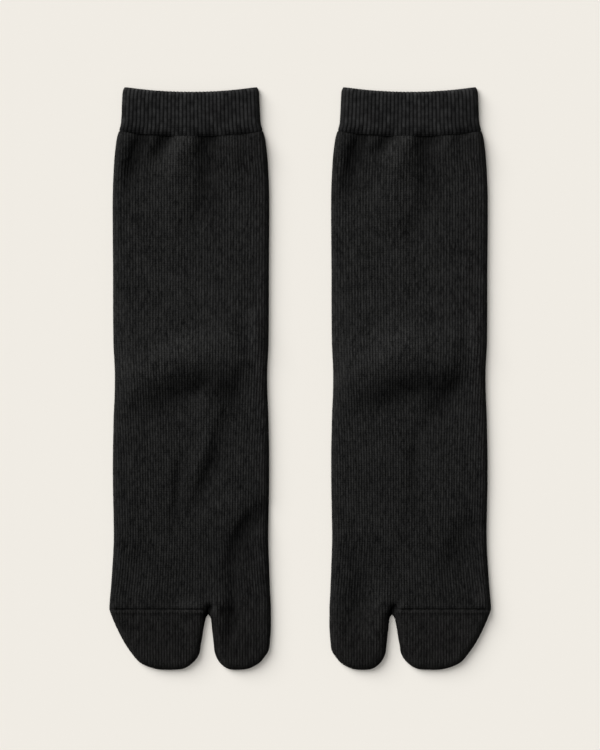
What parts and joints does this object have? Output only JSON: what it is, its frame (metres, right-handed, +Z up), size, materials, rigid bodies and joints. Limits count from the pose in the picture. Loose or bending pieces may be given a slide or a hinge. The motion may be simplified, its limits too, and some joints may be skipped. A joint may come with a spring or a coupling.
{
  "type": "pair of tabi socks",
  "caption": "Pair of black split-toe rib-knit crew socks, laid flat side by side with the insteps up.",
  "frame": {"origin": "on the surface under the middle of the pair: centre of the bounding box's underside", "axes": "+Y along the socks from the toes to the cuffs, +Z up from the surface through the insteps, +X across the pair towards the left sock"},
  "size_m": [0.2204, 0.3364, 0.0091],
  "materials": {
    "rib_welt_black": "matt black cotton, 1 x 1 rib welt, knitted double",
    "leg_knit_black": "matt black cotton, fine 1 x 1 rib",
    "heel_knit_black": "matt black cotton, plain knit heel",
    "toe_knit_black": "matt black cotton, fine rib toe"
  },
  "bodies": {
    "root": {"right_cuff": "rib_welt_black", "right_leg_foot": "leg_knit_black", "right_heel_pocket": "heel_knit_black", "right_toe_pocket": "toe_knit_black", "right_big_toe": "toe_knit_black", "left_cuff": "rib_welt_black", "left_leg_foot": "leg_knit_black", "left_heel_pocket": "heel_knit_black", "left_toe_pocket": "toe_knit_black", "left_big_toe": "toe_knit_black"}
  },
  "joints": []
}
